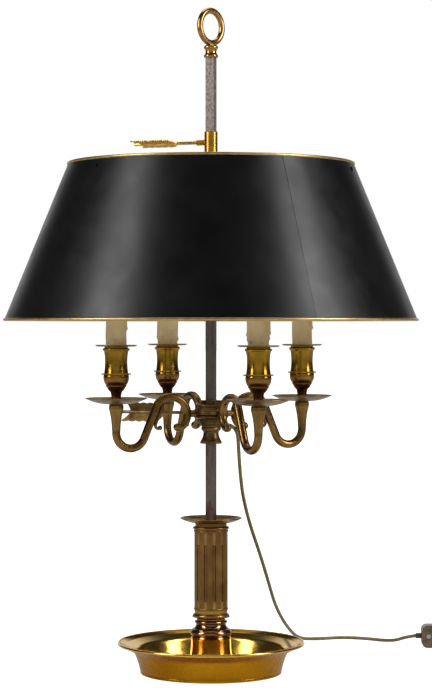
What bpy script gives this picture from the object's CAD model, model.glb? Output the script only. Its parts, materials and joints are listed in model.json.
"""Looks for the bouillotte lamp: finishes, fine ornament, wax drips, cord, camera and lights."""

import json
import math
import random

import bmesh
import bpy
from mathutils import Matrix, Vector


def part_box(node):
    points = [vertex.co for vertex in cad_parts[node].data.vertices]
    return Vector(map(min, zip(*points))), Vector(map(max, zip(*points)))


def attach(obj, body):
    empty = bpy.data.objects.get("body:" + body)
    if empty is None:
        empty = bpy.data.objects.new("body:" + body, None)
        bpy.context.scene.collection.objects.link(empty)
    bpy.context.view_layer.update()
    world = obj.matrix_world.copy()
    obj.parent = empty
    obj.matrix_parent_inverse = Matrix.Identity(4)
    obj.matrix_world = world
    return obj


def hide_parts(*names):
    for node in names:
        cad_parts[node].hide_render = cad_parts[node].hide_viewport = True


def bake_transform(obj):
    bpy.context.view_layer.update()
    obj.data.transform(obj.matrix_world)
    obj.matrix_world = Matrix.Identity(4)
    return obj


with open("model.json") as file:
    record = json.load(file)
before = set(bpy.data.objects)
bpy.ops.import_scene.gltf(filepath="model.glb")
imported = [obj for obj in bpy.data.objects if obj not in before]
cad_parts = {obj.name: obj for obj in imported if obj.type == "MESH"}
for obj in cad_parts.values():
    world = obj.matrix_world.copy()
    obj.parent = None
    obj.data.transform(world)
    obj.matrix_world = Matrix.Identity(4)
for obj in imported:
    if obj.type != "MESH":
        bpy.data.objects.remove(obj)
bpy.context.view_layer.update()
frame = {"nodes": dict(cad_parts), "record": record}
MM = 0.001
TURN = 2 * math.pi
# Edges at which the surface turns by more than this stay sharp
SHARP_ANGLE = math.radians(38)

# Where the camera stood: its turn round the lamp, its places in metres, its pitch,
# and its lens and sensor in millimetres
VIEW_TURN = math.radians(18.8)
VIEW_RIGHT = Vector((math.cos(VIEW_TURN), math.sin(VIEW_TURN), 0))
VIEW_DEPTH = Vector((-math.sin(VIEW_TURN), math.cos(VIEW_TURN), 0))
CAMERA_DISTANCE = 2.53
CAMERA_HEIGHT = 0.400
CAMERA_SIDE = 0.00575
CAMERA_PITCH = math.radians(0.573)
CAMERA_LENS = 114.1
CAMERA_SENSOR = 36.0

ARM_ANGLES = [math.radians(45 + 90 * count) for count in range(4)]
ARM_REACH = 118.9 * MM


def in_view(along, behind, height):
    """A place given in metres to the view's right, into its depth and up."""
    return VIEW_RIGHT * along + VIEW_DEPTH * behind + Vector((0, 0, height))


def from_view(along, behind, height):
    """The same in millimetres."""
    return in_view(along, behind, height) * MM

# Meshes


def new_object(name, points, faces):
    """An object with its normals outward, smooth but for its sharp edges."""
    mesh = bpy.data.meshes.new(name)
    mesh.from_pydata([tuple(point) for point in points], [], faces)
    mesh.validate()
    checked = bmesh.new()
    checked.from_mesh(mesh)
    bmesh.ops.recalc_face_normals(checked, faces=checked.faces)
    checked.to_mesh(mesh)
    checked.free()
    made = bpy.data.objects.new(name, mesh)
    bpy.context.scene.collection.objects.link(made)
    mesh.polygons.foreach_set("use_smooth", [True] * len(mesh.polygons))
    mesh.set_sharp_from_angle(angle=SHARP_ANGLE)
    return made


def lathe(outline, segments):
    """Points and faces of a closed outline, in millimetres of radius and height, turned upright."""
    rows = len(outline)
    points = []
    faces = []
    for step in range(segments):
        angle = TURN * step / segments
        for radius, height in outline:
            points.append((radius * MM * math.cos(angle), radius * MM * math.sin(angle), height * MM))
        here = step * rows
        there = (step + 1) % segments * rows
        for row in range(rows):
            above = (row + 1) % rows
            faces.append((here + row, there + row, there + above, here + above))
    return points, faces


def arc(centre, radius, first, last, steps):
    """Points along an arc in the outline's plane, by angles in degrees."""
    made = []
    for step in range(steps + 1):
        angle = math.radians(first + (last - first) * step / steps)
        made.append((centre[0] + radius * math.cos(angle), centre[1] + radius * math.sin(angle)))
    return made


def through(first, via, last, steps):
    """Points along the arc through three places."""
    (ax, ay), (bx, by), (cx, cy) = first, via, last
    d = 2 * (ax * (by - cy) + bx * (cy - ay) + cx * (ay - by))
    ux = ((ax**2 + ay**2) * (by - cy) + (bx**2 + by**2) * (cy - ay) + (cx**2 + cy**2) * (ay - by)) / d
    uy = ((ax**2 + ay**2) * (cx - bx) + (bx**2 + by**2) * (ax - cx) + (cx**2 + cy**2) * (bx - ax)) / d
    start = math.atan2(ay - uy, ax - ux)
    middle = math.atan2(by - uy, bx - ux)
    end = math.atan2(cy - uy, cx - ux)
    while middle - start > math.pi:
        middle -= TURN
    while middle - start < -math.pi:
        middle += TURN
    while end - middle > math.pi:
        end -= TURN
    while end - middle < -math.pi:
        end += TURN
    radius = math.hypot(ax - ux, ay - uy)
    made = []
    for step in range(steps + 1):
        angle = start + (end - start) * step / steps
        made.append((ux + radius * math.cos(angle), uy + radius * math.sin(angle)))
    return made


def join(name, parts):
    """One object from several lists of points and faces."""
    points = []
    faces = []
    for some_points, some_faces in parts:
        shift = len(points)
        points += [tuple(point) for point in some_points]
        faces += [tuple(index + shift for index in face) for face in some_faces]
    return new_object(name, points, faces)


BEAD_RINGS = 4
BEAD_SEGMENTS = 6


def bead(centre, radius):
    """A small ball of few faces."""
    points = [(centre[0], centre[1], centre[2] - radius)]
    for ring in range(1, BEAD_RINGS):
        polar = -math.pi / 2 + math.pi * ring / BEAD_RINGS
        reach = radius * math.cos(polar)
        height = centre[2] + radius * math.sin(polar)
        for step in range(BEAD_SEGMENTS):
            angle = TURN * step / BEAD_SEGMENTS
            across = (reach * math.cos(angle), reach * math.sin(angle))
            points.append((centre[0] + across[0], centre[1] + across[1], height))
    points.append((centre[0], centre[1], centre[2] + radius))
    faces = []
    top = 1 + (BEAD_RINGS - 2) * BEAD_SEGMENTS
    for step in range(BEAD_SEGMENTS):
        following = (step + 1) % BEAD_SEGMENTS
        faces.append((0, 1 + following, 1 + step))
        for low in range(1, top, BEAD_SEGMENTS):
            high = low + BEAD_SEGMENTS
            faces.append((low + step, low + following, high + following, high + step))
        faces.append((top + step, top + following, len(points) - 1))
    return points, faces


def bead_ring(count, reach, height, radius):
    """A level ring of beads, in millimetres."""
    made = []
    for step in range(count):
        angle = TURN * step / count
        centre = (reach * MM * math.cos(angle), reach * MM * math.sin(angle), height * MM)
        made.append(bead(centre, radius * MM))
    return made


def tube_along(line, radii, segments):
    """A closed round tube whose rings turn as little as they can."""
    points = []
    faces = []
    side = None
    for index, place in enumerate(line):
        before = line[max(index - 1, 0)]
        after = line[min(index + 1, len(line) - 1)]
        way = (after - before).normalized()
        if side is None:
            side = way.orthogonal().normalized()
        side = (side - way * side.dot(way)).normalized()
        other = way.cross(side)
        radius = radii[index] if isinstance(radii, list) else radii
        for step in range(segments):
            angle = TURN * step / segments
            points.append(place + (side * math.cos(angle) + other * math.sin(angle)) * radius)
    for index in range(len(line) - 1):
        for step in range(segments):
            following = (step + 1) % segments
            low = index * segments
            high = low + segments
            faces.append((low + step, low + following, high + following, high + step))
    faces.append(tuple(reversed(range(segments))))
    faces.append(tuple(range(len(points) - segments, len(points))))
    return points, faces


# Materials

# The beaded ring at the foot of the column, in millimetres
FOOT_RING_RADIUS = 21.3
FOOT_RING_HEIGHT = 67.0

# Heights in metres over which a colour goes over into the next
CUP_WAIST = (0.3365, 0.3465)
COLUMN_GOLD = (FOOT_RING_HEIGHT * MM, (FOOT_RING_HEIGHT + 22) * MM)
COLUMN_COPPER = ((FOOT_RING_HEIGHT - 3) * MM, (FOOT_RING_HEIGHT + 1) * MM)
STEM_PALE = (0.52, 0.60)
STEM_RUST = (0.24, 0.33)

# The mesh's own measure of edges and hollows: dark up to the first, light from the second
HOLLOW_TO_EDGE = (0.47, 0.56)
NOISE_ROUGHNESS = 0.55
METAL_RELIEF = 0.0006
PAINT_RELIEF = 0.0003
SWITCH_BROWN = ((0.13, 0.088, 0.042), (0.045, 0.03, 0.015))


def connect(tree, value, socket):
    """Feeds a socket from another one, or gives it a plain value."""
    if isinstance(value, bpy.types.NodeSocket):
        tree.links.new(value, socket)
    else:
        socket.default_value = value


def arithmetic(tree, operation, *values):
    """The result of one calculation on sockets and plain numbers."""
    node = tree.nodes.new("ShaderNodeMath")
    node.operation = operation
    for value, socket in zip(values, node.inputs):
        connect(tree, value, socket)
    return node.outputs[0]


def between(tree, factor, low, high):
    """A number that goes from low to high with its factor."""
    node = tree.nodes.new("ShaderNodeMix")
    node.data_type = "FLOAT"
    for index, value in ((0, factor), (2, low), (3, high)):
        connect(tree, value, node.inputs[index])
    return node.outputs[0]


def ranged(tree, source, low, high, start, end, kind="LINEAR"):
    """A number that goes from low to high while its source goes from start to end."""
    node = tree.nodes.new("ShaderNodeMapRange")
    node.interpolation_type = kind
    for name, value in (("From Min", start), ("From Max", end), ("To Min", low), ("To Max", high)):
        node.inputs[name].default_value = value
    tree.links.new(source, node.inputs["Value"])
    return node.outputs["Result"]


class Finish:
    """Builds one procedural material, node by node."""

    def __init__(self, name):
        self.material = bpy.data.materials.new(name)
        self.material.use_nodes = True
        self.tree = self.material.node_tree
        self.shader = self.tree.nodes["Principled BSDF"]
        self.place = self.tree.nodes.new("ShaderNodeTexCoord").outputs["Object"]

    def set(self, **values):
        for name, value in values.items():
            self.shader.inputs[name.replace("_", " ")].default_value = value

    def noise(self, scale, detail=4.0, stretch=(1, 1, 1)):
        mapping = self.tree.nodes.new("ShaderNodeMapping")
        mapping.inputs["Scale"].default_value = stretch
        self.tree.links.new(self.place, mapping.inputs["Vector"])
        noise = self.tree.nodes.new("ShaderNodeTexNoise")
        for name, value in (("Scale", scale), ("Detail", detail), ("Roughness", NOISE_ROUGHNESS)):
            noise.inputs[name].default_value = value
        self.tree.links.new(mapping.outputs["Vector"], noise.inputs["Vector"])
        return noise.outputs["Fac"]

    def ramp(self, source, *stops):
        """A colour that goes through the stops, each a position and a colour."""
        ramp = self.tree.nodes.new("ShaderNodeValToRGB")
        elements = ramp.color_ramp.elements
        while len(elements) < len(stops):
            elements.new(0.5)
        for element, (position, colour) in zip(elements, stops):
            element.position = position
            element.color = (*colour, 1)
        self.tree.links.new(source, ramp.inputs["Fac"])
        return ramp.outputs["Color"]

    def tint(self, source, dark, bright, start=0.3, end=0.7):
        """A colour that goes from dark to bright."""
        return self.ramp(source, (start, dark), (end, bright))

    def grey(self, source, low, high, start=0.3, end=0.7):
        return ranged(self.tree, source, low, high, start, end)

    def mix(self, factor, first, second):
        """A mixture of two colours, each a socket or plain."""
        mix = self.tree.nodes.new("ShaderNodeMix")
        mix.data_type = "RGBA"
        for index, value in ((0, factor), (6, first), (7, second)):
            value = (*value, 1) if isinstance(value, tuple) else value
            connect(self.tree, value, mix.inputs[index])
        return mix.outputs[2]

    def edges(self):
        """Light on worn edges and dark in hollows, from the mesh's own curvature."""
        geometry = self.tree.nodes.new("ShaderNodeNewGeometry")
        return self.grey(geometry.outputs["Pointiness"], 0.0, 1.0, *HOLLOW_TO_EDGE)

    def height(self):
        split = self.tree.nodes.new("ShaderNodeSeparateXYZ")
        self.tree.links.new(self.place, split.inputs["Vector"])
        return split.outputs["Z"]

    def colour(self, source):
        self.tree.links.new(source, self.shader.inputs["Base Color"])

    def rough(self, source):
        self.tree.links.new(source, self.shader.inputs["Roughness"])

    def bump(self, source, strength, distance):
        bump = self.tree.nodes.new("ShaderNodeBump")
        bump.inputs["Strength"].default_value = strength
        bump.inputs["Distance"].default_value = distance
        self.tree.links.new(source, bump.inputs["Height"])
        self.tree.links.new(bump.outputs["Normal"], self.shader.inputs["Normal"])


def brass(name, bright, dark, rough, patina=0.5, scale=60, relief=0.05):
    """Brass whose colour drifts from bright to dark in cloudy patches and in its hollows."""
    made = Finish(name)
    made.set(Metallic=1.0)
    clouds = made.noise(scale, 6.0)
    fine = made.noise(scale * 7, 3.0)
    middle = tuple((a + b) / 2 for a, b in zip(bright, dark))
    cloudy = made.ramp(clouds, (0.28, dark), (0.5, middle), (0.72, bright))
    worn = made.mix(made.edges(), dark, cloudy)
    made.colour(made.mix(patina, cloudy, worn))
    made.rough(made.grey(fine, *rough))
    made.bump(clouds, relief, METAL_RELIEF)
    return made.material


def cup_brass():
    """Olive brass cups, going over to copper brown at the foot of each."""
    made = Finish("cup_brass")
    made.set(Metallic=1.0)
    clouds = made.noise(40, 5.0)
    olive = made.tint(clouds, (0.30, 0.16, 0.014), (0.56, 0.32, 0.032))
    copper = made.tint(clouds, (0.16, 0.07, 0.02), (0.34, 0.17, 0.055))
    foot = made.grey(made.height(), 1.0, 0.0, *CUP_WAIST)
    colour = made.mix(foot, olive, copper)
    worn = made.mix(made.edges(), (0.12, 0.06, 0.012), colour)
    made.colour(made.mix(0.6, colour, worn))
    made.rough(made.grey(made.noise(180, 3.0), 0.16, 0.28))
    made.bump(clouds, 0.02, METAL_RELIEF)
    return made.material


def column_brass():
    """Brown brass: matt on the shaft, golden at its foot, polished copper brown below the ring."""
    made = Finish("column_brass")
    made.set(Metallic=1.0)
    clouds = made.noise(45, 6.0)
    height = made.height()
    shaft = made.tint(clouds, (0.18, 0.09, 0.024), (0.50, 0.29, 0.09))
    golden = made.tint(clouds, (0.30, 0.17, 0.03), (0.52, 0.32, 0.08))
    copper = made.tint(clouds, (0.30, 0.16, 0.07), (0.52, 0.31, 0.16))
    low = made.grey(height, 1.0, 0.0, *COLUMN_GOLD)
    foot = made.grey(height, 1.0, 0.0, *COLUMN_COPPER)
    colour = made.mix(foot, made.mix(low, shaft, golden), copper)
    worn = made.mix(made.edges(), (0.08, 0.035, 0.012), colour)
    made.colour(made.mix(0.65, colour, worn))
    fine = made.noise(300, 3.0)
    made.rough(between(made.tree, foot, made.grey(fine, 0.28, 0.44), made.grey(fine, 0.12, 0.22)))
    made.bump(clouds, 0.03, METAL_RELIEF)
    return made.material


def speckled(name, dark, bright, scale, rough_scale=0, rough=(), **values):
    """A plain material whose colour and gloss vary a little from place to place."""
    made = Finish(name)
    made.set(**values)
    made.colour(made.tint(made.noise(scale), dark, bright))
    if rough:
        made.rough(made.grey(made.noise(rough_scale), *rough))
    return made.material


def plain_steel(name):
    return speckled(name, (0.40, 0.39, 0.38), (0.58, 0.57, 0.56), 80, 300, (0.28, 0.42), Metallic=1.0)


def shade_black():
    made = Finish("shade_black_paint")
    drift = made.noise(9, 5.0, (1, 1, 0.6))
    grain = made.noise(420, 3.0)
    made.colour(made.tint(drift, (0.0014, 0.0014, 0.0016), (0.0030, 0.0028, 0.0027), 0.35))
    made.rough(made.grey(made.noise(30, 6.0), 0.30, 0.40))
    made.bump(made.mix(0.5, grain, made.noise(90, 6.0, (1, 1, 9))), 0.10, PAINT_RELIEF)
    made.set(IOR=1.35)
    return made.material


def shade_white():
    made = Finish("shade_white_paint")
    made.colour(made.tint(made.noise(12, 5.0), (0.70, 0.66, 0.58), (0.80, 0.77, 0.70)))
    made.rough(made.grey(made.noise(60), 0.5, 0.65))
    made.bump(made.noise(300), 0.05, PAINT_RELIEF)
    return made.material


def steel():
    """Worn steel: pitted and pale above the shade, brown-grey with rust patches below."""
    made = Finish("stem_steel")
    made.set(Metallic=0.85)
    pits = made.noise(420, 5.0, (1, 1, 0.7))
    streaks = made.noise(26, 6.0, (6, 6, 1))
    rust = made.noise(70, 6.0, (1, 1, 0.45))
    height = made.height()
    low = made.tint(streaks, (0.095, 0.078, 0.066), (0.185, 0.155, 0.135))
    high = made.tint(pits, (0.13, 0.10, 0.088), (0.32, 0.265, 0.24), 0.35, 0.6)
    base = made.mix(made.grey(height, 0.0, 1.0, *STEM_PALE), low, high)
    rusty = made.mix(made.grey(rust, 0.25, 1.0, 0.50, 0.62), base, (0.085, 0.028, 0.018))
    made.colour(made.mix(made.grey(height, 1.0, 0.0, *STEM_RUST), base, rusty))
    made.rough(made.grey(pits, 0.38, 0.62))
    made.bump(pits, 0.35, METAL_RELIEF)
    return made.material


def wax():
    made = Finish("candle_wax")
    drift = made.noise(55, 5.0, (1, 1, 0.5))
    fine = made.noise(340, 4.0, (1, 1, 0.5))
    made.colour(made.tint(drift, (0.50, 0.36, 0.17), (0.70, 0.54, 0.29)))
    made.rough(made.grey(fine, 0.42, 0.6))
    made.bump(fine, 0.18, METAL_RELIEF)
    made.set(Subsurface_Weight=0.12, Subsurface_Scale=0.004)
    return made.material


def plastic(name, bright, dark, rough):
    made = Finish(name)
    made.colour(made.tint(made.noise(120, 4.0), dark, bright))
    made.rough(made.grey(made.noise(500, 3.0), rough - 0.06, rough + 0.1))
    made.bump(made.noise(700, 2.0), 0.08, PAINT_RELIEF)
    return made.material


def make_materials():
    """Every finish by its slot; brass goes bright, dark, roughness, patina, scale and relief."""
    return {
        "dish": brass(
            "dish_brass", (0.78, 0.50, 0.11), (0.60, 0.34, 0.05), (0.14, 0.22), 0.2, 22, 0.02
        ),
        "dish_outside": brass(
            "dish_outer_brass", (0.64, 0.31, 0.012), (0.48, 0.21, 0.006), (0.25, 0.30), 0.2, 22, 0.02
        ),
        "finial": brass("finial_brass", (0.62, 0.38, 0.12), (0.24, 0.12, 0.03), (0.18, 0.3), 0.6, 80),
        "collar": brass("collar_brass", (0.54, 0.29, 0.04), (0.32, 0.16, 0.02), (0.22, 0.34), 0.4, 80),
        "upper_key": brass(
            "upper_key_brass", (0.85, 0.54, 0.13), (0.42, 0.24, 0.04), (0.22, 0.36), 0.6, 90
        ),
        "column": column_brass(),
        "hub": brass("hub_patina", (0.32, 0.195, 0.07), (0.05, 0.03, 0.01), (0.3, 0.46), 0.75, 90),
        "arms": brass("arm_patina", (0.33, 0.19, 0.055), (0.11, 0.06, 0.016), (0.2, 0.34), 0.6, 38, 0.03),
        "pans": brass("pan_brass", (0.32, 0.21, 0.09), (0.13, 0.08, 0.03), (0.26, 0.42), 0.6, 50),
        "cups": cup_brass(),
        "bobeches": brass("bobeche_brass", (0.42, 0.27, 0.07), (0.16, 0.1, 0.03), (0.26, 0.42), 0.5, 60),
        "gilt_rim": brass("rim_gilt", (0.60, 0.43, 0.17), (0.34, 0.22, 0.08), (0.3, 0.45), 0.3, 120),
        "spider": brass("spider_brass", (0.45, 0.32, 0.14), (0.2, 0.13, 0.05), (0.35, 0.5), 0.5, 60),
        "pins": brass("pin_metal", (0.62, 0.58, 0.5), (0.45, 0.4, 0.33), (0.25, 0.35), 0.2, 120),
        "shade_paint": shade_black(),
        "shade_inside": shade_white(),
        "steel": steel(),
        "fixings": plain_steel("fixing_steel"),
        "screws": plain_steel("screw_steel"),
        "candle": wax(),
        "lampholder": speckled(
            "holder_ceramic", (0.62, 0.56, 0.42), (0.70, 0.65, 0.52), 90, 200, (0.25, 0.4)
        ),
        "bulb_glass": speckled(
            "bulb_clear", (0.96, 0.96, 0.95), (0.99, 0.99, 0.98), 40,
            Transmission_Weight=1.0, Roughness=0.02, IOR=1.45,
        ),
        "filament": speckled(
            "bulb_inside", (0.55, 0.40, 0.16), (0.75, 0.6, 0.3), 400, 300, (0.3, 0.5), Metallic=0.6
        ),
        "cord": plastic("cord_cover", (0.175, 0.135, 0.035), (0.11, 0.082, 0.02), 0.38),
        "switch": plastic("switch_cover", *SWITCH_BROWN, 0.30),
        "plug": plastic("plug_cover", *SWITCH_BROWN, 0.32),
        "rocker": plastic("rocker_cover", (0.045, 0.03, 0.016), (0.025, 0.017, 0.01), 0.3),
        "switch_trim": plastic("relief_cover", (0.07, 0.05, 0.03), (0.04, 0.03, 0.02), 0.45),
        "tie": plastic("tie_cover", (0.05, 0.05, 0.05), (0.03, 0.03, 0.03), 0.5),
    }


finishes = make_materials()


def dress(piece, finish):
    piece.data.materials.clear()
    piece.data.materials.append(finishes[finish])


def place(piece, finish, body, *nodes, slot=None):
    """Gives a new piece its finish, its body and the nodes that it stands for."""
    dress(piece, finish)
    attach(piece, body)
    if nodes:
        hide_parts(*nodes)


def dress_nodes():
    """Every carried-over node takes the finish of its slot."""
    for row in frame["record"]["subparts"]:
        dress(frame["nodes"][row["node"]], row["material_slot"])


# Shade

SHADE_TOP = (164.6, 583.0)
SHADE_FOOT = (236.1, 407.8)
SHADE_SHEET = 0.6
SHADE_SLANT = 189.2
SHADE_LET_IN = 1.0
SHADE_GRIP = SHADE_LET_IN / SHADE_SLANT
SHADE_SEGMENTS = 240
SHADE_ROWS = 14
SEAM_ANGLE = math.radians(-43)
# The lap stands out by millimetres, drops within radians and dies away over segments
LAP_RISE = 0.6
LAP_EDGE = 0.0014
LAP_RUN = 8
RIM_WIRE = 1.7


def make_shade():
    """The painted cone: black outside, white inside, with its lapped seam."""
    segments = SHADE_SEGMENTS
    rows = SHADE_ROWS
    points = []
    faces = []
    inside = []
    for side in range(2):
        for step in range(segments):
            angle = SEAM_ANGLE + TURN * step / segments
            rise = 0.0
            if step == 1:
                angle = SEAM_ANGLE + LAP_EDGE
            if side == 0 and 0 < step < LAP_RUN:
                rise = LAP_RISE * (1 - (step - 1) / (LAP_RUN - 1))
            for row in range(rows):
                share = row / (rows - 1) * (1 + 2 * SHADE_GRIP) - SHADE_GRIP
                radius = SHADE_TOP[0] + (SHADE_FOOT[0] - SHADE_TOP[0]) * share
                radius += rise - (SHADE_SHEET if side else 0.0)
                height = SHADE_TOP[1] + (SHADE_FOOT[1] - SHADE_TOP[1]) * share
                points.append((radius * MM * math.cos(angle), radius * MM * math.sin(angle), height * MM))
    layer = segments * rows
    for side in range(2):
        for step in range(segments):
            following = (step + 1) % segments
            for row in range(rows - 1):
                first = side * layer + step * rows + row
                second = side * layer + following * rows + row
                faces.append((first, second, second + 1, first + 1))
                inside.append(side)
    for step in range(segments):
        following = (step + 1) % segments
        for row in (0, rows - 1):
            first = step * rows + row
            second = following * rows + row
            faces.append((first, second, second + layer, first + layer))
            inside.append(0)
    shade = new_object("shade_skin", points, faces)
    place(shade, "shade_paint", "shade", "shade_cone")
    shade.data.materials.append(finishes["shade_inside"])
    for polygon, hidden in zip(shade.data.polygons, inside):
        polygon.material_index = hidden


def make_rims():
    """The two gilt wires, each centred just past its edge of the sheet."""
    run = math.hypot(SHADE_FOOT[0] - SHADE_TOP[0], SHADE_TOP[1] - SHADE_FOOT[1])
    slant = ((SHADE_FOOT[0] - SHADE_TOP[0]) / run, (SHADE_TOP[1] - SHADE_FOOT[1]) / run)
    for name, edge, side in (("shade_top_rim", SHADE_TOP, -1), ("shade_bottom_rim", SHADE_FOOT, 1)):
        centre = (
            edge[0] - SHADE_SHEET / 2 + side * slant[0] * RIM_WIRE,
            edge[1] - side * slant[1] * RIM_WIRE,
        )
        outline = arc(centre, RIM_WIRE, 0, 360, 16)[:-1]
        ring = new_object(name + "_wire", *lathe(outline, SHADE_SEGMENTS))
        place(ring, "gilt_rim", "shade", name)


# Dish

DISH_SEGMENTS = 160
BRIM_BEADS = 470
BRIM_BEAD_REACH = 105.0
BRIM_BEAD_HEIGHT = 35.5
BRIM_BEAD_RADIUS = 0.68
KNURLS = 68
KNURL_REACH = FOOT_RING_RADIUS - 0.3
KNURL_HEIGHT = FOOT_RING_HEIGHT - 2.3
KNURL_RADIUS = 0.75
# Faces further out, lower and more outward than these are the wall's outside
WALL_REACH = 79
WALL_TOP = 31
WALL_OUTWARD = 0.2


def make_dish():
    """The dish with its rolled brim, its row of beads and its central boss."""
    outline = [(4.05, 37.0), (4.05, 40.0), (23.2, 40.0)]
    outline += through((23.2, 40.0), (24.0, 22.0), (28.0, 5.7), 12)[1:]
    outline += through((28.0, 5.7), (28.7, 4.3), (30.4, 3.7), 5)[1:]
    outline += [(52.0, 3.7), (74.6, 3.7)]
    outline += through((74.6, 3.7), (78.2, 5.0), (79.6, 8.7), 7)[1:]
    outline += through((79.6, 8.7), (81.8, 15.5), (85.4, 26.6), 12)[1:]
    outline += [(86.4, 27.5), (88.2, 28.2), (89.0, 28.47), (98.9, 31.8), (99.5, 32.0)]
    outline += [(100.1, 31.7), (100.7, 32.4), (103.4, 33.4)]
    outline += arc((106.1, 34.2), 1.7, 150, -90, 14)
    outline += [(104.4, 32.9), (89.8, 25.0)]
    outline += through((88.4, 23.6), (84.0, 12.5), (82.0, 5.2), 12)
    outline += [(81.5, 3.6), (81.3, 3.0), (81.0, 2.7), (81.2, 2.0), (81.2, 0.4), (80.8, 0.0), (78.5, 0.0)]
    outline += [(78.5, 2.0), (25.0, 2.0)]
    outline += through((25.0, 2.0), (20.3, 20.0), (19.2, 37.0), 8)[1:]
    beads = bead_ring(BRIM_BEADS, BRIM_BEAD_REACH, BRIM_BEAD_HEIGHT, BRIM_BEAD_RADIUS)
    dish = join("dish_skin", [lathe(outline, DISH_SEGMENTS), *beads])
    place(dish, "dish", "base", "dish_base")
    dish.data.materials.append(finishes["dish_outside"])
    for polygon in dish.data.polygons:
        middle = polygon.center
        reach = math.hypot(middle.x, middle.y)
        outward = (polygon.normal.x * middle.x + polygon.normal.y * middle.y) / reach
        if reach > WALL_REACH * MM and middle.z < WALL_TOP * MM and outward > WALL_OUTWARD:
            polygon.material_index = 1


def make_knurl():
    """The beads round the ring at the foot of the column."""
    beads = bead_ring(KNURLS, KNURL_REACH, KNURL_HEIGHT, KNURL_RADIUS)
    place(join("column_knurl", beads), "column", "base")


# Thumbscrews

ROD_START = 5.1
ROD_STEP = 0.3
ROD_THIN = 1.8
ROD_THICK = 1.95
ROD_SEGMENTS = 14
# How far the rod goes on past the start of the feathers, and its tip as
# distances back from its end and radii
ROD_LENGTH = 54.0
ROD_TIP = ((1.0, ROD_THICK), (0.2, 1.5), (0.0, 0.6))
THREADS = 9
THREAD_START = 0.5
THREAD_MARGIN = 0.8
THREAD_CREST = 2.05
THREAD_HALF = 0.18
BARBS = 20
BARB_STEPS = 4
BARB_THIN = 0.55
BARB_SWELL = 0.40
BARB_NOTCH = 0.35
VANE_ROWS = 7
VANE_LOW = 0.8
VANE_HIGH = 11.4
VANE_SWEEP = 1.25
VANE_THINNING = 0.35
LOBES = 5
LOBE_DEPTH = 1.3
LOBE_PEAK = 0.6
# Each feather's side, where its outer edge begins and ends, and where its root ends
FEATHERS = ((1, 6.5, 47.5, 43.0), (-1, 9.0, 55.5, 44.0))


def feather_edge(share):
    """How far the lobed edge of a feather dips at a share of its length."""
    within = 1.0 if share >= 1.0 else share * LOBES - math.floor(share * LOBES)
    run = LOBE_PEAK if within < LOBE_PEAK else 1.0 - LOBE_PEAK
    return LOBE_DEPTH * min(((within - LOBE_PEAK) / run) ** 2, 1.0)


def feather(start, side, first, last, root_last):
    """One barbed feather: two ridged sheets, closed along their shared edge."""
    steps = BARBS * BARB_STEPS
    wide = VANE_ROWS + 1
    points = []
    for face in (-1, 1):
        for step in range(steps + 1):
            share = step / steps
            within = (share * BARBS) % 1.0
            ridge = BARB_THIN + BARB_SWELL * math.sin(math.pi * within)
            root = start + share * root_last
            outer = start + first + share * (last - first)
            high = VANE_HIGH - feather_edge(share) - (BARB_NOTCH if within == 0.0 else 0.0)
            for row in range(wide):
                up = row / VANE_ROWS
                reach = root + (outer - root) * up**VANE_SWEEP
                rise = VANE_LOW + (high - VANE_LOW) * up
                thick = ridge * (1.0 - VANE_THINNING * up**4)
                points.append((-reach * MM, face * thick * MM, side * rise * MM))
    faces = []
    for step in range(steps):
        for row in range(VANE_ROWS):
            corner = step * wide + row
            faces.append((corner, corner + wide, corner + wide + 1, corner + 1))
    shift = len(points) // 2
    faces += [tuple(index + shift for index in reversed(corners)) for corners in faces]
    rim = list(range(wide))
    rim += [step * wide + VANE_ROWS for step in range(1, steps + 1)]
    rim += [steps * wide + row for row in range(VANE_ROWS - 1, -1, -1)]
    rim += [step * wide for step in range(steps - 1, 0, -1)]
    for here, there in zip(rim, rim[1:] + rim[:1]):
        faces.append((here, there, there + shift, here + shift))
    return points, faces


def rod_along(sections):
    """A round rod along -X through sections of reach and radius, in millimetres."""
    line = [Vector((-reach * MM, 0, 0)) for reach, _ in sections]
    return tube_along(line, [radius * MM for _, radius in sections], ROD_SEGMENTS)


def make_key(name, node, body, finish, height, roll, boss, rod_start, vane_start):
    """An arrow-shaped thumbscrew along -X: its rod, two barbed feathers and thread."""
    end = vane_start + ROD_LENGTH
    rod = [(ROD_START, ROD_THIN), (rod_start - ROD_STEP, ROD_THIN), (rod_start, ROD_THICK)]
    rod += [(end - back, radius) for back, radius in ROD_TIP]
    parts = [rod_along(rod)]
    parts += [feather(vane_start, *sizes) for sizes in FEATHERS]
    for turn in range(THREADS):
        reach = boss + THREAD_START + turn * (rod_start - boss - THREAD_MARGIN) / THREADS
        crest = (reach + THREAD_HALF, THREAD_CREST)
        parts.append(rod_along([(reach, ROD_THIN), crest, (reach + 2 * THREAD_HALF, ROD_THIN)]))
    key = join(name, parts)
    rolled = Matrix.Rotation(math.radians(roll), 4, "X")
    key.data.transform(Matrix.Translation((0, 0, height * MM)) @ rolled)
    place(key, finish, body, node)


# Candles

SLEEVE_RADIUS = 12.0
SLEEVE_BORE = 10.8
SLEEVE_SEGMENTS = 72
SLEEVE_ROWS = 34
WAX_INSET = 0.25
WAX_BEVEL = 0.5
WAX_RUNS = 7
# A run of wax: its place round the sleeve, how far down it reaches, its width and its thickness
RUN_RANGES = ((0, TURN), (0.25, 1.0), (0.10, 0.2), (0.5, 1.3))
# The post of a bulb as heights and radii, and one of its wires as reaches and heights
POST = ((406.5, 3.6), (412.0, 3.0), (424.0, 1.2))
WIRE = ((1.5, 422), (4.2, 430), (3.0, 456), (0.6, 462))
WIRES = 4
WIRE_TURN = 0.4
WIRE_RADIUS = 0.45
POST_SEGMENTS = 12
WIRE_SEGMENTS = 8


def arm_centre(count):
    angle = ARM_ANGLES[count]
    return Vector((ARM_REACH * math.cos(angle), ARM_REACH * math.sin(angle), 0))


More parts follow.
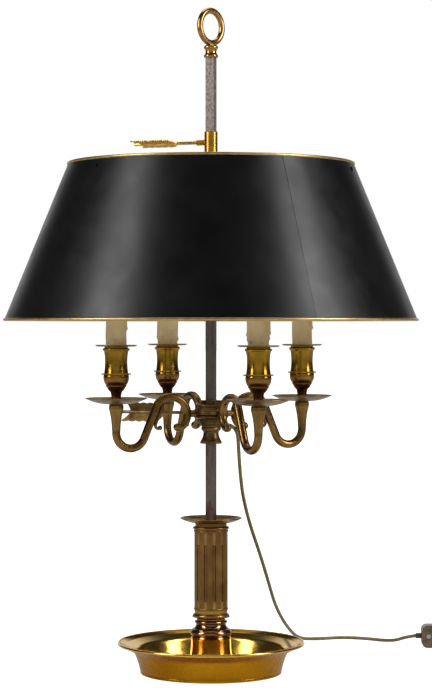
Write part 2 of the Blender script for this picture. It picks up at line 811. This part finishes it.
def wax_swell(runs, count, turn, share):
    """How far the wax stands out, in millimetres, at an angle and a share of the height."""
    swell = 0.12 * math.sin(3 * turn + 5 * share + count) + 0.08 * math.sin(7 * turn - 9 * share)
    along = 1.0 - share
    for where, reach, width, size in runs:
        away = abs((turn - where + math.pi) % TURN - math.pi)
        across = math.exp(-((away / width) ** 2))
        if along < reach:
            bead_swell = 1.0 + 0.7 * math.exp(-(((along - reach + 0.06) / 0.05) ** 2))
            swell += size * bead_swell * across
        else:
            swell += size * across * math.exp(-(((along - reach) / 0.03) ** 2))
    return swell


def make_candle(count):
    """A wax-like sleeve with runs of wax down its side."""
    centre = arm_centre(count)
    low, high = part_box(f"candle_sleeve_{count + 1}")
    random.seed(40 + count)
    runs = [[random.uniform(*limits) for limits in RUN_RANGES] for _ in range(WAX_RUNS)]
    rings = [(row / (SLEEVE_ROWS - 1), True) for row in range(SLEEVE_ROWS)]
    rings += [(1.0, False), (0.0, False)]
    points = []
    for share, outside in rings:
        for step in range(SLEEVE_SEGMENTS):
            turn = TURN * step / SLEEVE_SEGMENTS
            radius = SLEEVE_BORE
            if outside:
                radius = SLEEVE_RADIUS - WAX_INSET + wax_swell(runs, count, turn, share)
                radius -= WAX_BEVEL if share == 1.0 else 0.0
            spot = (math.cos(turn), math.sin(turn))
            x, y = (middle + radius * MM * way for middle, way in zip(centre, spot))
            points.append((x, y, low.z + (high.z - low.z) * share))
    faces = []
    for row in range(len(rings)):
        low_row = row * SLEEVE_SEGMENTS
        high_row = (row + 1) % len(rings) * SLEEVE_SEGMENTS
        for step in range(SLEEVE_SEGMENTS):
            following = (step + 1) % SLEEVE_SEGMENTS
            faces.append((low_row + step, low_row + following, high_row + following, high_row + step))
    candle = new_object(f"candle_wax_{count + 1}", points, faces)
    place(candle, "candle", "candelabra", f"candle_sleeve_{count + 1}")


def make_filament(count):
    """The glass post and its wires inside a bulb."""
    centre = arm_centre(count)
    post = [centre + Vector((0, 0, height * MM)) for height, _ in POST]
    parts = [tube_along(post, [radius * MM for _, radius in POST], POST_SEGMENTS)]
    for side in range(WIRES):
        lean = TURN * side / WIRES + WIRE_TURN
        out = Vector((math.cos(lean), math.sin(lean), 0))
        line = [centre + out * (reach * MM) + Vector((0, 0, height * MM)) for reach, height in WIRE]
        parts.append(tube_along(line, WIRE_RADIUS * MM, WIRE_SEGMENTS))
    inner = join(f"bulb_wires_{count + 1}", parts)
    place(inner, "filament", "candelabra", slot="bulb_glass")


# Cord

CORD_RADIUS = 2.1
CORD_SEGMENTS = 14
SWITCH_START = 261.0
SWITCH_LENGTH = 62.0
SWITCH_NECK = 7.0
SWITCH_BEHIND = 200.0
SWITCH_HEIGHT = 14.0
COIL_ALONG = 318.0
COIL_BEHIND = 128.0
COIL_MIDDLE = 25.2
COIL_PITCH = 4.8
COIL_LAYER = 4.7
COIL_LIFT = 0.6
COIL_TUCK = 0.9
COIL_END = 8.0
# Half turns of the lower and of the upper layer, points to a half turn, and how far
# the points stand outside the curve that they steer
COIL_LOWER = 6
COIL_UPPER = 5
COIL_STEPS = 8
COIL_OUTSIDE = 1.012


def drop_route():
    """The hanging stretch, from the hub down and round to the switch."""
    end = SWITCH_START - SWITCH_NECK
    return [
        Vector((13.95, 0, 286.0)) * MM,
        from_view(20.5, -7.0, 286.0),
        from_view(26.8, -8.6, 282.2),
        from_view(30.6, -8.8, 275.6),
        from_view(31.5, -6.9, 262.5),
        from_view(32.6, 1.0, 243.0),
        from_view(34.4, 10.5, 222.0),
        from_view(37.4, 24.0, 199.0),
        from_view(45.5, 45.0, 166.0),
        from_view(57.5, 73.0, 130.0),
        from_view(68.0, 104.0, 94.0),
        from_view(78.0, 138.0, 58.0),
        from_view(93.0, 178.0, 28.0),
        from_view(109.0, 219.0, 7.5),
        from_view(133.0, 255.0, CORD_RADIUS),
        from_view(163.0, 269.0, CORD_RADIUS),
        from_view(193.0, 262.0, CORD_RADIUS),
        from_view(218.0, 241.0, CORD_RADIUS),
        from_view(231.0, 219.5, 5.4),
        from_view(241.0, SWITCH_BEHIND + 4.0, 11.6),
        from_view(end, SWITCH_BEHIND, SWITCH_HEIGHT),
    ]


def tail_route():
    """From the switch to the coil, twice round in two layers and on to the plug."""
    start = SWITCH_START + SWITCH_LENGTH + SWITCH_NECK
    level = CORD_RADIUS + COIL_LIFT
    outer = COIL_MIDDLE + 1.5 * COIL_PITCH
    points = [
        from_view(start, SWITCH_BEHIND, SWITCH_HEIGHT),
        from_view(start + 9, SWITCH_BEHIND - 0.6, SWITCH_HEIGHT - 1.5),
        from_view(start + 17, SWITCH_BEHIND - 5.0, SWITCH_HEIGHT - 6.0),
        from_view(start + 22, SWITCH_BEHIND - 15.0, level + 1.6),
        from_view(start + 22.5, SWITCH_BEHIND - 30.0, level),
        from_view(start + 21.0, SWITCH_BEHIND - 47.0, level),
        from_view(COIL_ALONG + outer, COIL_BEHIND + 9.0, level),
    ]
    halves = COIL_LOWER + 1 + COIL_UPPER
    for step in range(halves * COIL_STEPS + 1):
        half = step / COIL_STEPS
        reach = outer - min(half, COIL_LOWER) * COIL_PITCH / 2
        reach += max(0.0, half - COIL_LOWER - 1) * COIL_PITCH / 2
        tuck = max(0.0, 1.0 - max(0.0, abs(half - COIL_LOWER - 0.5) - 0.5))
        reach = (reach - COIL_TUCK * tuck) * COIL_OUTSIDE
        height = level + COIL_LAYER * min(max(half - COIL_LOWER, 0.0), 1.0)
        turn = -math.pi * half
        along = COIL_ALONG + reach * math.cos(turn)
        points.append(from_view(along, COIL_BEHIND + reach * math.sin(turn), height))
    finish_reach = outer - COIL_LOWER * COIL_PITCH / 2 + COIL_UPPER * COIL_PITCH / 2
    top = level + COIL_LAYER
    points[-1] = from_view(COIL_ALONG + finish_reach, COIL_BEHIND, top)
    points.append(from_view(COIL_ALONG + finish_reach, COIL_BEHIND - COIL_END, top))
    return points


def spline_line(route):
    """The smooth line of a route: its points steer one open spline."""
    curve = bpy.data.curves.new("route", "CURVE")
    curve.dimensions = "3D"
    curve.resolution_u = 8
    spline = curve.splines.new("NURBS")
    spline.points.add(len(route) - 1)
    for point, place_at in zip(spline.points, route):
        point.co = (*place_at, 1)
    spline.order_u = 3
    spline.use_endpoint_u = True
    helper = bpy.data.objects.new("route", curve)
    mesh = bpy.data.meshes.new_from_object(helper)
    line = [vertex.co.copy() for vertex in mesh.vertices]
    bpy.data.objects.remove(helper)
    bpy.data.curves.remove(curve)
    bpy.data.meshes.remove(mesh)
    return line


def make_cords():
    """The hanging cord, which follows the candelabra, and the put-away rest of the lead."""
    line = spline_line(drop_route())
    drop = join("cord_hanging", [tube_along(line, CORD_RADIUS * MM, CORD_SEGMENTS)])
    dress(drop, "cord")
    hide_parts("cord_drop")
    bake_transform(drop)
    line = spline_line(tail_route())
    tail = join("cord_put_away", [tube_along(line, CORD_RADIUS * MM, CORD_SEGMENTS)])
    place(tail, "cord", "base", "cord_tail", "cord_coil")


# Studio

# How brightly the floor glows for the camera near the lamp and further out, and the
# distances in metres between which it changes
FLOOR_GLOW = 0.82
FLOOR_FAR = 1.0
FLOOR_FADE = (0.25, 1.3)
FLOOR_SIZE = 30.0
FLOOR_GREY = 0.5
# What reflections see of the floor, and of the room: dark, with a pale backdrop and a
# half-lit stretch low behind the camera, each with the cosines between which it fades
FLOOR_MIRROR = 0.05
STUDIO_DARK = 0.04
STUDIO_PALE = 0.85
PALE_FADE = (0.80, 0.93)
STUDIO_ROOM = 0.5
ROOM_FADE = (0.60, 0.85)
ROOM_DIP = math.radians(14)
# What matt surfaces get from the room
STUDIO_FILL = 0.7

LIGHT_TARGET = Vector((0, 0, 0.35))
# Name, place in the view in metres, width and height in metres, and power in watts
LIGHTS = (
    ("left_window", (-1.50, -0.75, 1.20), (0.6, 1.3), 24),
    ("right_window", (1.50, -0.62, 1.20), (0.6, 1.3), 26),
    ("overhead", (0, 0.6, 2.3), (1.2, 1.2), 10),
)


def any_ray(tree, *kinds):
    """Is the ray one of these kinds?"""
    path = tree.nodes.new("ShaderNodeLightPath")
    result = path.outputs[kinds[0]]
    for kind in kinds[1:]:
        result = arithmetic(tree, "MAXIMUM", result, path.outputs[kind])
    return result


def make_floor():
    """A grey floor that keeps the shadow and glows white for the camera."""
    mesh = bpy.data.meshes.new("floor")
    size = FLOOR_SIZE
    corners = [(-size, -size, 0), (size, -size, 0), (size, size, 0), (-size, size, 0)]
    mesh.from_pydata(corners, [], [(0, 1, 2, 3)])
    floor = bpy.data.objects.new("floor", mesh)
    bpy.context.scene.collection.objects.link(floor)
    material = bpy.data.materials.new("floor_pale")
    material.use_nodes = True
    tree = material.node_tree
    shader = tree.nodes["Principled BSDF"]
    spot = tree.nodes.new("ShaderNodeTexCoord")
    reach = tree.nodes.new("ShaderNodeVectorMath")
    reach.operation = "LENGTH"
    tree.links.new(spot.outputs["Object"], reach.inputs[0])
    level = ranged(tree, reach.outputs["Value"], FLOOR_GLOW, FLOOR_FAR, *FLOOR_FADE)
    glow = arithmetic(tree, "MULTIPLY", any_ray(tree, "Is Camera Ray", "Is Transmission Ray"), level)
    glow = arithmetic(tree, "MULTIPLY_ADD", any_ray(tree, "Is Glossy Ray"), FLOOR_MIRROR, glow)
    for name, value in (
        ("Base Color", (FLOOR_GREY, FLOOR_GREY, FLOOR_GREY, 1)),
        ("Roughness", 0.9),
        ("Specular IOR Level", 0.0),
        ("Emission Color", (1, 1, 1, 1)),
        ("Emission Strength", glow),
    ):
        connect(tree, value, shader.inputs[name])
    mesh.materials.append(material)


def make_world():
    """White for the camera, a room with pale sides for reflections, and an even fill."""
    world = bpy.data.worlds.new("studio")
    bpy.context.scene.world = world
    world.use_nodes = True
    tree = world.node_tree
    background = tree.nodes["Background"]
    way = tree.nodes.new("ShaderNodeTexCoord").outputs["Generated"]
    flat = -math.cos(ROOM_DIP)
    toward_room = (flat * VIEW_DEPTH[0], flat * VIEW_DEPTH[1], -math.sin(ROOM_DIP))
    level = STUDIO_DARK
    lobes = ((VIEW_DEPTH, PALE_FADE, STUDIO_PALE), (toward_room, ROOM_FADE, STUDIO_ROOM))
    for axis, fade, strength in lobes:
        depth = tree.nodes.new("ShaderNodeVectorMath")
        depth.operation = "DOT_PRODUCT"
        depth.inputs[1].default_value = axis
        tree.links.new(way, depth.inputs[0])
        lobe = ranged(tree, depth.outputs["Value"], 0.0, strength, *fade, kind="SMOOTHSTEP")
        level = arithmetic(tree, "ADD", lobe, level)
    level = between(tree, any_ray(tree, "Is Camera Ray", "Is Transmission Ray"), level, 1.0)
    level = between(tree, any_ray(tree, "Is Diffuse Ray"), level, STUDIO_FILL)
    background.inputs["Color"].default_value = (1, 1, 1, 1)
    tree.links.new(level, background.inputs["Strength"])


def make_lights():
    for name, spot, size, power in LIGHTS:
        light = bpy.data.lights.new(name, "AREA")
        light.shape = "RECTANGLE"
        light.size, light.size_y = size
        light.energy = power
        made = bpy.data.objects.new(name, light)
        bpy.context.scene.collection.objects.link(made)
        made.location = in_view(*spot)
        made.rotation_euler = (LIGHT_TARGET - in_view(*spot)).to_track_quat("-Z", "Y").to_euler()


def make_camera():
    data = bpy.data.cameras.new("camera")
    data.sensor_fit = "VERTICAL"
    data.sensor_height = CAMERA_SENSOR
    data.lens = CAMERA_LENS
    camera = bpy.data.objects.new("camera", data)
    bpy.context.scene.collection.objects.link(camera)
    camera.location = in_view(CAMERA_SIDE, -CAMERA_DISTANCE, CAMERA_HEIGHT)
    camera.rotation_euler = (math.pi / 2 - CAMERA_PITCH, 0, VIEW_TURN)
    bpy.context.scene.camera = camera


make_camera()
dress_nodes()
make_cords()
make_shade()
make_rims()
make_dish()
make_knurl()
make_key(
    "upper_arrow", "shade_key", "upper_key", "upper_key",
    height=609.8, roll=-106.0, boss=16.9, rod_start=21.7, vane_start=40.3,
)
make_key(
    "lower_arrow", "hub_key", "lower_key", "hub",
    height=298.8, roll=0.0, boss=29.0, rod_start=33.5, vane_start=55.6,
)
for arm in range(4):
    make_candle(arm)
    make_filament(arm)
make_floor()
make_world()
make_lights()
scene = bpy.context.scene
scene.view_settings.view_transform = "Standard"
